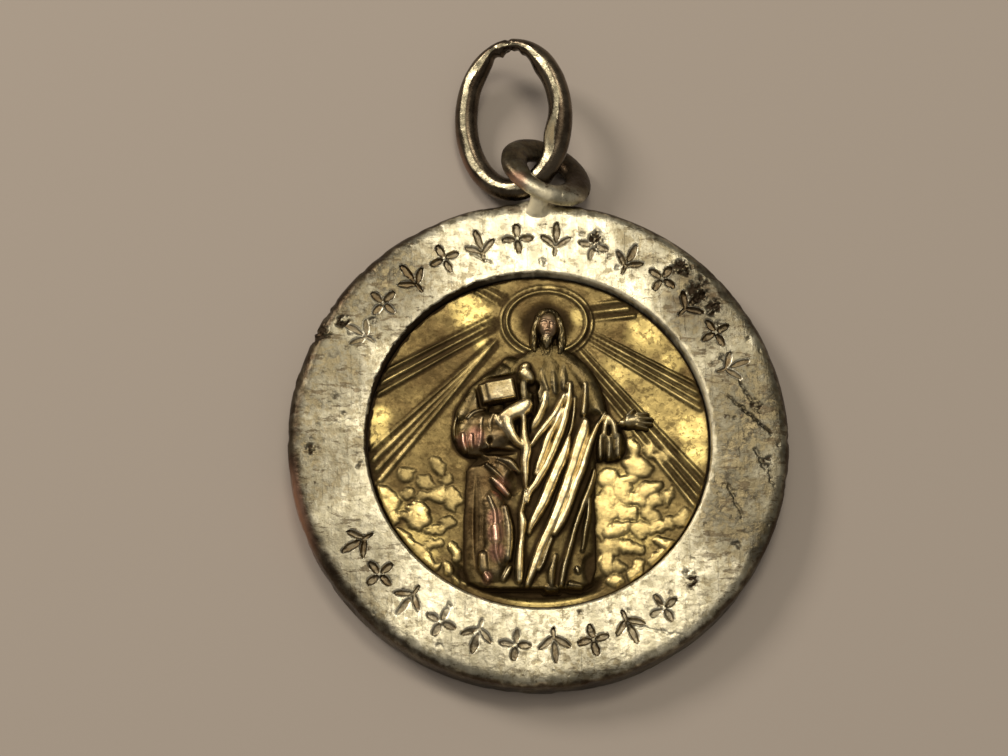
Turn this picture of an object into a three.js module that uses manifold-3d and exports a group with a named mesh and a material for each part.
// A round devotional medal lying on its back: a silver-plated disc with a small wire eyelet soldered to
// its top edge, a gilt centre with a standing figure in low relief, and a worn oval jump ring.
// Millimetres, +Z up out of the face, +Y towards the eyelet, origin at the middle of the flat back.
import * as THREE from 'three';
import { mergeVertices } from 'three/addons/utils/BufferGeometryUtils.js';
import Module from 'manifold-3d';

const wasm = await Module();
wasm.setup();

// Disc
const discDiameter = 19;
const discThickness = 1.6;
const backBevel = 0.15;
const shoulderWidth = 0.45;
const shoulderDrop = 0.35;
const bandDome = 0.05;
const recessDiameter = 13;
const recessDepth = 0.85;
const lipWidth = 0.12;
const lipDrop = 0.08;
const discSegments = 96;

// Gilt centre
const plaqueClearance = 0.05;
const seatGap = 0.02;
const plaqueThickness = 0.35;
const reliefHeight = 0.6;
const plaqueRings = 36;

// Jump ring, an oval of round wire worn thin at the top, where its ends meet in a notch
const ringLength = 6.62;
const ringWidth = 4.92;
const ringWire = 0.94;
const ringLean = 6.2;
const ringTurn = -2.8;
const ringCrossing = 148.5;
const wornShare = 0.55;

// Eyelet, a flattened wire loop that stands on the rim and leans away from it
const ringPlay = 0.5;
const eyeletWidth = 0.76;
const eyeletThickness = 0.56;
const eyeletTurn = 16;
const eyeletRoll = -12;
const eyeletSide = 0.05;
const eyeletOverhang = 0.22;
const eyeletRise = 0.52;
const eyeletTableGap = 0.12;

// Solder between the rim and the eyelet
const neckFoot = 1.0;
const neckTop = 0.56;
const filletLength = 3.6;
const filletWidth = 0.9;
const filletReach = 0.1;

const discRadius = discDiameter / 2;
const recessRadius = recessDiameter / 2;
const recessFloor = discThickness - recessDepth;
const eyeletBore = ringWire + 2 * ringPlay;
const eyeletRadius = (eyeletBore + eyeletWidth) / 2;
const plaqueRadius = recessRadius - plaqueClearance;
const fieldLevel = recessFloor + seatGap + plaqueThickness;

const wornSilver = new THREE.MeshStandardMaterial({ color: 0xb9b096, roughness: 0.38, metalness: 1 });
const antiqueGilt = new THREE.MeshStandardMaterial({ color: 0xa98c3c, roughness: 0.35, metalness: 1 });
const tarnishedWire = new THREE.MeshStandardMaterial({ color: 0x7d7566, roughness: 0.32, metalness: 1 });

const radians = THREE.MathUtils.degToRad;
const mix = THREE.MathUtils.lerp;
const clamp = THREE.MathUtils.clamp;
const smooth = (value, from, to) => THREE.MathUtils.smoothstep(value, from, to);

// Keeps only the positions, joins the shared corners and drops the triangles that collapse at a pole.
function closedMesh(geometry) {
  geometry.deleteAttribute('normal');
  geometry.deleteAttribute('uv');
  const merged = mergeVertices(geometry, 1e-5);
  const kept = [];
  for (let i = 0; i < merged.index.count; i += 3) {
    const [a, b, c] = [0, 1, 2].map((k) => merged.index.getX(i + k));
    if (a !== b && b !== c && c !== a) kept.push(a, b, c);
  }
  merged.setIndex(kept);
  return merged;
}

function solidOf(geometry) {
  const merged = closedMesh(geometry);
  return new wasm.Manifold(new wasm.Mesh({
    numProp: 3,
    vertProperties: new Float32Array(merged.attributes.position.array),
    triVerts: new Uint32Array(merged.index.array),
  }));
}

function geometryOf(solid) {
  const mesh = solid.getMesh();
  const geometry = new THREE.BufferGeometry();
  geometry.setAttribute('position', new THREE.BufferAttribute(new Float32Array(mesh.vertProperties), 3));
  geometry.setIndex(new THREE.BufferAttribute(new Uint32Array(mesh.triVerts), 1));
  geometry.computeVertexNormals();
  return geometry;
}

// An oval loop of wire around Z: long along Y, wide along X. halfWidth gives the wire's half width in
// the loop's plane and halfHeight across it, each as a function of the turn, 0 at the top.
function wireLoop({ long, wide, halfWidth, halfHeight, steps, sides }) {
  const positions = [];
  const index = [];
  for (let i = 0; i < steps; i += 1) {
    const turn = (i / steps) * 2 * Math.PI;
    const outward = new THREE.Vector2(Math.sin(turn) / wide, Math.cos(turn) / long).normalize();
    for (let j = 0; j < sides; j += 1) {
      const around = (j / sides) * 2 * Math.PI;
      const out = halfWidth(turn) * Math.cos(around);
      positions.push(
        wide * Math.sin(turn) + outward.x * out,
        long * Math.cos(turn) + outward.y * out,
        halfHeight(turn) * Math.sin(around),
      );
      const [a, b] = [i * sides + j, i * sides + ((j + 1) % sides)];
      const [c, d] = [((i + 1) % steps) * sides + j, ((i + 1) % steps) * sides + ((j + 1) % sides)];
      index.push(a, b, c, b, d, c);
    }
  }
  const geometry = new THREE.BufferGeometry();
  geometry.setAttribute('position', new THREE.Float32BufferAttribute(positions, 3));
  geometry.setIndex(index);
  return geometry;
}

// Turns a loop the way it lies: rolled about its long axis, then leaned, then turned on the table.
function lie({ roll, lean, turn }) {
  const turned = new THREE.Matrix4().makeRotationZ(radians(-turn));
  turned.multiply(new THREE.Matrix4().makeRotationX(radians(lean)));
  return turned.multiply(new THREE.Matrix4().makeRotationY(radians(-roll)));
}

// The disc's section from the middle of the back, round the edge and over the band to the recess.
function discProfile() {
  const bandStart = discRadius - shoulderWidth;
  const lipStart = recessRadius + lipWidth;
  const points = [
    [0, 0],
    [discRadius - backBevel, 0],
    [discRadius, backBevel],
  ];
  const shoulderSteps = 6;
  for (let i = 0; i <= shoulderSteps; i += 1) {
    const angle = (i / shoulderSteps) * (Math.PI / 2);
    points.push([
      bandStart + shoulderWidth * Math.cos(angle),
      discThickness - bandDome - shoulderDrop * (1 - Math.sin(angle)),
    ]);
  }
  points.push([mix(bandStart, lipStart, 0.5), discThickness]);
  points.push([lipStart, discThickness - bandDome / 2]);
  points.push([recessRadius, discThickness - lipDrop]);
  points.push([recessRadius, recessFloor], [0, recessFloor]);
  return points.map(([r, z]) => new THREE.Vector2(r, z));
}

// The middle of the eyelet's near wire, above the rim's top edge.
const eyeletSeat = new THREE.Vector3(
  eyeletSide,
  discRadius + eyeletOverhang,
  discThickness + eyeletRise,
);

// From its seat the eyelet falls away until its far side just clears the table.
const eyeletFall = eyeletSeat.z - eyeletThickness / 2 - eyeletTableGap;
const eyeletLean = -THREE.MathUtils.radToDeg(Math.asin(Math.min(eyeletFall / (2 * eyeletRadius), 1)));
const eyeletLie = lie({ roll: eyeletRoll, lean: eyeletLean, turn: eyeletTurn });
const eyeletCentre = new THREE.Vector3(0, eyeletRadius, 0).applyMatrix4(eyeletLie).add(eyeletSeat);

function eyeletLoop() {
  const loop = wireLoop({
    long: eyeletRadius,
    wide: eyeletRadius,
    halfWidth: () => eyeletWidth / 2,
    halfHeight: () => eyeletThickness / 2,
    steps: 40,
    sides: 12,
  });
  loop.applyMatrix4(eyeletLie);
  loop.translate(eyeletCentre.x, eyeletCentre.y, eyeletCentre.z);
  return loop;
}

// Solder: a low fillet along the rim and the neck that the loop stands on.
function solderFoot() {
  const fillet = new THREE.SphereGeometry(1, 24, 12);
  fillet.rotateX(Math.PI / 2);
  fillet.scale(filletLength / 2, filletWidth / 2, discThickness * 0.4);
  fillet.translate(0, discRadius + filletReach - filletWidth / 2, discThickness * 0.55);
  const root = new THREE.Vector3(0, discRadius - neckFoot / 2, discThickness / 2);
  const neckLength = root.distanceTo(eyeletSeat);
  const neck = new THREE.CylinderGeometry(neckTop / 2, neckFoot / 2, neckLength, 16);
  const along = eyeletSeat.clone().sub(root).normalize();
  neck.applyQuaternion(new THREE.Quaternion().setFromUnitVectors(new THREE.Vector3(0, 1, 0), along));
  const middle = root.clone().add(eyeletSeat).multiplyScalar(0.5);
  neck.translate(middle.x, middle.y, middle.z);
  return [fillet, neck].map(solidOf);
}

function frameDisc() {
  const body = new THREE.LatheGeometry(discProfile(), discSegments);
  body.rotateX(Math.PI / 2);
  let solid = solidOf(body).add(solidOf(eyeletLoop()));
  for (const piece of solderFoot()) solid = solid.add(piece);
  return geometryOf(solid);
}

// Height of the ring's lowest wire when it passes the middle of the eyelet's bore at the given roll.
function ringFloor(roll) {
  const [long, wide] = [(ringLength - ringWire) / 2, (ringWidth - ringWire) / 2];
  const placed = lie({ roll, lean: ringLean, turn: ringTurn });
  const heightAt = (turn) => new THREE.Vector3(
    wide * Math.sin(turn),
    long * Math.cos(turn),
    0,
  ).applyMatrix4(placed).z;
  const turns = Array.from({ length: 90 }, (_, i) => (i / 90) * 2 * Math.PI);
  const dip = Math.min(...turns.map(heightAt)) - heightAt(radians(ringCrossing));
  return crossingPoint().z + dip - ringWire / 2;
}

// The ring's wire passes the bore a little to the near side of its middle.
function crossingPoint() {
  const aside = new THREE.Vector3(-0.14, -0.33, 0).multiplyScalar(eyeletBore / 2);
  return aside.applyMatrix4(eyeletLie).add(eyeletCentre);
}

// The roll at which the ring's low side rests on the table, found by halving.
function restingRoll() {
  let [flat, steep] = [0, 80];
  for (let i = 0; i < 30; i += 1) {
    const middle = (flat + steep) / 2;
    if (ringFloor(middle) > 0) flat = middle;
    else steep = middle;
  }
  return flat;
}

function jumpRing() {
  const half = ringWire / 2;
  const [long, wide] = [(ringLength - ringWire) / 2, (ringWidth - ringWire) / 2];
  const notchShare = 0.3;
  const thickness = (turn) => {
    const fromTop = Math.min(turn, 2 * Math.PI - turn);
    const worn = 1 - (1 - wornShare) * (1 - smooth(fromTop, 0.1, 0.85));
    const notch = 1 - notchShare * (1 - smooth(fromTop, 0, 0.14));
    return half * worn * notch;
  };
  const loop = wireLoop({
    long,
    wide,
    halfWidth: thickness,
    halfHeight: (turn) => mix(half, thickness(turn), 0.6),
    steps: 56,
    sides: 12,
  });
  const placed = lie({ roll: restingRoll(), lean: ringLean, turn: ringTurn });
  const crossing = radians(ringCrossing);
  const passing = new THREE.Vector3(wide * Math.sin(crossing), long * Math.cos(crossing), 0);
  const centre = crossingPoint().sub(passing.applyMatrix4(placed));
  loop.applyMatrix4(placed);
  loop.translate(centre.x, centre.y, centre.z);
  return loop;
}

// The struck figure. Places and widths are shares of the plaque's radius, heights of the relief's.
const figure = [
  { part: 'hair', x: 0.035, y: 0.71, toX: 0.035, toY: 0.56, r: 0.125, toR: 0.12, h: 0.5 },
  { part: 'head', x: 0.035, y: 0.705, toX: 0.032, toY: 0.645, r: 0.088, toR: 0.074, h: 0.85 },
  { part: 'beard', x: 0.03, y: 0.6, toX: 0.03, toY: 0.55, r: 0.066, toR: 0.04, h: 0.8 },
  { part: 'shoulders', x: -0.14, y: 0.41, toX: 0.2, toY: 0.41, r: 0.11, toR: 0.11, h: 0.7 },
  { part: 'chest', x: 0.03, y: 0.36, toX: 0.02, toY: 0.02, r: 0.2, toR: 0.27, h: 0.75 },
  { part: 'robe', x: 0.02, y: 0.02, toX: -0.01, toY: -0.88, r: 0.27, toR: 0.37, h: 0.8 },
  { part: 'near upper arm', x: -0.18, y: 0.38, toX: -0.37, toY: 0.08, r: 0.09, toR: 0.12, h: 0.8 },
  { part: 'near sleeve', x: -0.37, y: 0.0, toX: -0.18, toY: 0.08, r: 0.14, toR: 0.13, h: 0.9 },
  { part: 'near forearm', x: -0.33, y: 0.06, toX: -0.13, toY: 0.36, r: 0.08, toR: 0.055, h: 0.9 },
  { part: 'near hand', x: -0.14, y: 0.39, toX: -0.1, toY: 0.44, r: 0.06, toR: 0.04, h: 0.95 },
  { part: 'far upper arm', x: 0.2, y: 0.39, toX: 0.35, toY: 0.12, r: 0.1, toR: 0.11, h: 0.65 },
  { part: 'far sleeve', x: 0.37, y: 0.1, toX: 0.42, toY: -0.1, r: 0.1, toR: 0.13, h: 0.6 },
  { part: 'far hand', x: 0.42, y: 0.07, toX: 0.6, toY: 0.1, r: 0.06, toR: 0.04, h: 0.7 },
];
const tablet = { x: -0.29, y: 0.305, halfWide: 0.115, halfHigh: 0.085, turn: 10, h: 0.95 };
const nimbus = { x: 0.05, y: 0.72, radius: 0.235, width: 0.045, h: 0.28 };

// Folds of robe and mantle: soft ridges on the figure.
const folds = [
  { x: 0.2, y: 0.36, toX: -0.03, toY: -0.2, r: 0.05, rise: 0.2 },
  { x: 0.28, y: 0.24, toX: -0.02, toY: -0.85, r: 0.05, rise: 0.22 },
  { x: 0.29, y: 0.04, toX: 0.11, toY: -0.87, r: 0.05, rise: 0.2 },
  { x: 0.27, y: -0.2, toX: 0.24, toY: -0.87, r: 0.05, rise: 0.2 },
  { x: -0.05, y: 0.1, toX: -0.07, toY: -0.87, r: 0.04, rise: 0.24 },
  { x: -0.22, y: -0.12, toX: -0.2, toY: -0.87, r: 0.06, rise: 0.22 },
];

// Wedges of light from the nimbus: the direction in degrees and the reach as shares.
const rays = [
  { direction: 209, from: 0.27, to: 0.78 },
  { direction: 226, from: 0.3, to: 1.05 },
  { direction: 148, from: 0.26, to: 0.4 },
  { direction: 12, from: 0.27, to: 0.42 },
  { direction: -30, from: 0.27, to: 0.72 },
  { direction: -48, from: 0.27, to: 1.1 },
];
const ray = { spread: 9, h: 0.16 };
const pebble = { count: 34, r: 0.11, h: 0.3, inner: 0.4, topY: -0.1, outer: 0.94 };
const groundY = -0.87;
const softEdge = 0.03;

// How far along a tapered stroke a point lies, and how far beside it as a share of the half width.
function strokeAt(row, x, y) {
  const [dx, dy] = [row.toX - row.x, row.toY - row.y];
  const along = clamp(((x - row.x) * dx + (y - row.y) * dy) / (dx * dx + dy * dy), 0, 1);
  const away = Math.hypot(x - row.x - along * dx, y - row.y - along * dy);
  return away / mix(row.r, row.toR ?? row.r, along);
}

const rounded = (share) => (share < 1 ? (1 - share * share) ** 0.6 : 0);
const soft = (share) => (share < 1 ? (1 - share * share) ** 2 : 0);

// Cloud-like bumps, spread evenly over the lower ground on both sides of the figure.
function pebblePlaces() {
  const golden = Math.PI * (3 - Math.sqrt(5));
  const places = [];
  const spread = pebble.count * 4;
  for (let i = 0; i < spread; i += 1) {
    const r = Math.sqrt((i + 0.5) / spread) * pebble.outer;
    const [x, y] = [r * Math.cos(i * golden), r * Math.sin(i * golden)];
    if (y < pebble.topY && Math.abs(x) > pebble.inner * 0.8) places.push([x, y]);
  }
  return places;
}
const pebbles = pebblePlaces();

// Each wedge widens as it leaves the nimbus.
const rayStrokes = rays.map((row) => {
  const angle = radians(row.direction);
  const widen = Math.tan(radians(ray.spread) / 2);
  return {
    x: nimbus.x + row.from * Math.cos(angle),
    y: nimbus.y + row.from * Math.sin(angle),
    toX: nimbus.x + row.to * Math.cos(angle),
    toY: nimbus.y + row.to * Math.sin(angle),
    r: row.from * widen,
    toR: row.to * widen,
  };
});

function groundRelief(x, y) {
  let height = 0;
  for (const row of rayStrokes) height = Math.max(height, ray.h * soft(strokeAt(row, x, y)));
  for (const [px, py] of pebbles) {
    height = Math.max(height, pebble.h * soft(Math.hypot(x - px, y - py) / pebble.r));
  }
  const beside = Math.abs(Math.hypot(x - nimbus.x, y - nimbus.y) - nimbus.radius);
  return Math.max(height, nimbus.h * soft(beside / nimbus.width));
}

function figureRelief(x, y) {
  let height = 0;
  for (const row of figure) height = Math.max(height, row.h * rounded(strokeAt(row, x, y)));
  const turn = radians(tablet.turn);
  const [dx, dy] = [x - tablet.x, y - tablet.y];
  const across = Math.abs(dx * Math.cos(turn) + dy * Math.sin(turn));
  const up = Math.abs(dy * Math.cos(turn) - dx * Math.sin(turn));
  const inset = Math.min(tablet.halfWide - across, tablet.halfHigh - up);
  height = Math.max(height, tablet.h * smooth(inset, 0, softEdge));
  const onRobe = smooth(height, 0.3, 0.6) * smooth(-y, -0.4, -0.3);
  const ridge = Math.max(...folds.map((row) => row.rise * soft(strokeAt(row, x, y))));
  return Math.min(height + ridge * onRobe, 1) * smooth(y, groundY - softEdge, groundY);
}

// Relief height at a place on the plaque, both as shares: the mean of the place and a ring about it.
function relief(x, y) {
  const reach = 0.5 / plaqueRings;
  let sum = 0;
  for (let i = 0; i <= 6; i += 1) {
    const [px, py] = [x + (i && reach * Math.cos(i)), y + (i && reach * Math.sin(i))];
    sum += Math.max(groundRelief(px, py), figureRelief(px, py));
  }
  return (sum / 7) * smooth(1 - Math.hypot(x, y), 0, softEdge);
}

// The plaque is a grid of rings, each with six more corners than the one inside it.
function centrePlaque() {
  const positions = [0, 0, fieldLevel + relief(0, 0) * reliefHeight];
  const index = [];
  const start = (ring) => (ring === 0 ? 0 : 1 + 3 * ring * (ring - 1));
  const corner = (ring, k) => (ring === 0 ? 0 : start(ring) + (k % (6 * ring)));
  for (let ring = 1; ring <= plaqueRings; ring += 1) {
    for (let k = 0; k < 6 * ring; k += 1) {
      const angle = (k / (6 * ring)) * 2 * Math.PI;
      const [x, y] = [(ring / plaqueRings) * Math.cos(angle), (ring / plaqueRings) * Math.sin(angle)];
      positions.push(x * plaqueRadius, y * plaqueRadius, fieldLevel + relief(x, y) * reliefHeight);
    }
    for (let side = 0; side < 6; side += 1) {
      for (let k = 0; k < ring; k += 1) {
        const [outer, inner] = [side * ring + k, side * (ring - 1) + k];
        index.push(corner(ring, outer), corner(ring, outer + 1), corner(ring - 1, inner));
        if (k < ring - 1) {
          index.push(corner(ring, outer + 1), corner(ring - 1, inner + 1), corner(ring - 1, inner));
        }
      }
    }
  }
  const rimCount = 6 * plaqueRings;
  const base = positions.length / 3;
  for (let k = 0; k < rimCount; k += 1) {
    const angle = (k / rimCount) * 2 * Math.PI;
    positions.push(plaqueRadius * Math.cos(angle), plaqueRadius * Math.sin(angle), recessFloor + seatGap);
  }
  const middle = positions.length / 3;
  positions.push(0, 0, recessFloor + seatGap);
  for (let k = 0; k < rimCount; k += 1) {
    const next = (k + 1) % rimCount;
    const [top, topNext] = [start(plaqueRings) + k, start(plaqueRings) + next];
    index.push(base + k, base + next, topNext, base + k, topNext, top);
    index.push(middle, base + next, base + k);
  }
  const geometry = new THREE.BufferGeometry();
  geometry.setAttribute('position', new THREE.Float32BufferAttribute(positions, 3));
  geometry.setIndex(index);
  geometry.computeVertexNormals();
  return geometry;
}

function named(name, geometry, material) {
  const mesh = new THREE.Mesh(geometry, material);
  mesh.name = name;
  return mesh;
}

const medal = new THREE.Group();
medal.add(named('frame_disc', frameDisc(), wornSilver));
medal.add(named('centre_plaque', centrePlaque(), antiqueGilt));
medal.add(named('jump_ring', jumpRing(), tarnishedWire));

export default medal;
